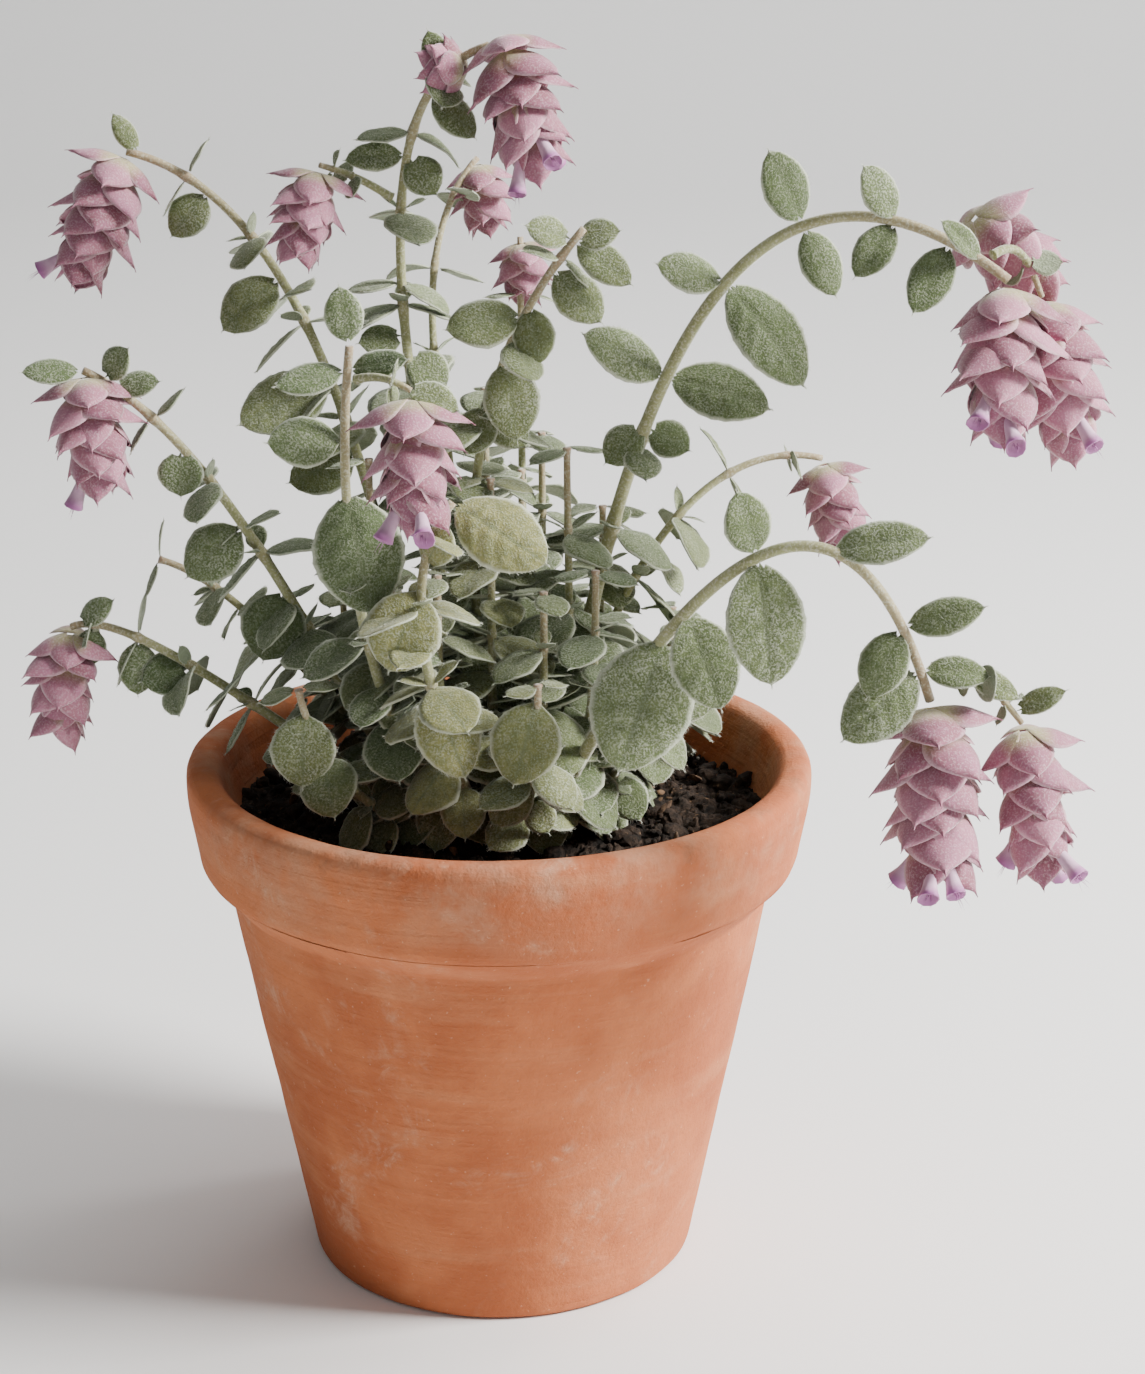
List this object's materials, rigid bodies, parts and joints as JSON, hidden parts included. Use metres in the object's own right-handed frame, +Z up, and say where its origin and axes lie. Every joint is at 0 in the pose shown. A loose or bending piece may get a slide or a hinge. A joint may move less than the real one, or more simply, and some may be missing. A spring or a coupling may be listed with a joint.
{
  "type": "potted dittany of crete",
  "caption": "Terracotta pot holding a bushy, woolly-leaved herb whose arching stems end in hanging pink hop-like flower heads.",
  "frame": {"origin": "bottom centre of the whole object's box, on the surface the pot stands on; the pot's axis is 11 mm to -X of it", "axes": "+Z up, the pot's axis; +Y away from the side the flower heads lean to; +X to the right seen from that side"},
  "size_m": [0.232, 0.1604, 0.2764],
  "materials": {
    "terracotta": "matte",
    "soil": "matte",
    "wood": "matte",
    "leaf": "matte",
    "bract": "matte"
  },
  "bodies": {
    "root": {"head_back_hidden": "bract", "head_back_top": "bract", "head_front_left": "bract", "head_left": "bract", "head_left_high": "bract", "head_lower_left": "bract", "head_right_arch_back": "bract", "head_right_arch_front": "bract", "head_right_arch_side": "bract", "head_right_back": "bract", "head_right_lower_front": "bract", "head_right_lower_side": "bract", "head_top": "bract", "head_top_left": "bract", "head_top_side": "bract", "potting_soil": "soil", "root_crown": "wood", "shoot_back_hidden": "leaf", "shoot_back_top": "leaf", "shoot_centre_rosette": "leaf", "shoot_fill_01": "leaf", "shoot_fill_02": "leaf", "shoot_fill_03": "leaf", "shoot_fill_04": "leaf", "shoot_fill_05": "leaf", "shoot_fill_06": "leaf", "shoot_fill_07": "leaf", "shoot_fill_08": "leaf", "shoot_fill_09": "leaf", "shoot_fill_10": "leaf", "shoot_fill_11": "leaf", "shoot_fill_12": "leaf", "shoot_fill_13": "leaf", "shoot_fill_14": "leaf", "shoot_fill_15": "leaf", "shoot_front_centre": "leaf", "shoot_front_left": "leaf", "shoot_front_left_branch": "leaf", "shoot_left": "leaf", "shoot_left_high": "leaf", "shoot_left_leafy": "leaf", "shoot_low_front": "leaf", "shoot_low_left": "leaf", "shoot_low_right": "leaf", "shoot_lower_left": "leaf", "shoot_right_arch": "leaf", "shoot_right_arch_branch": "leaf", "shoot_right_back": "leaf", "shoot_right_lower_arch": "leaf", "shoot_right_lower_branch": "leaf", "shoot_top": "leaf", "shoot_top_left_branch": "leaf", "terracotta_pot": "terracotta"}
  },
  "joints": []
}
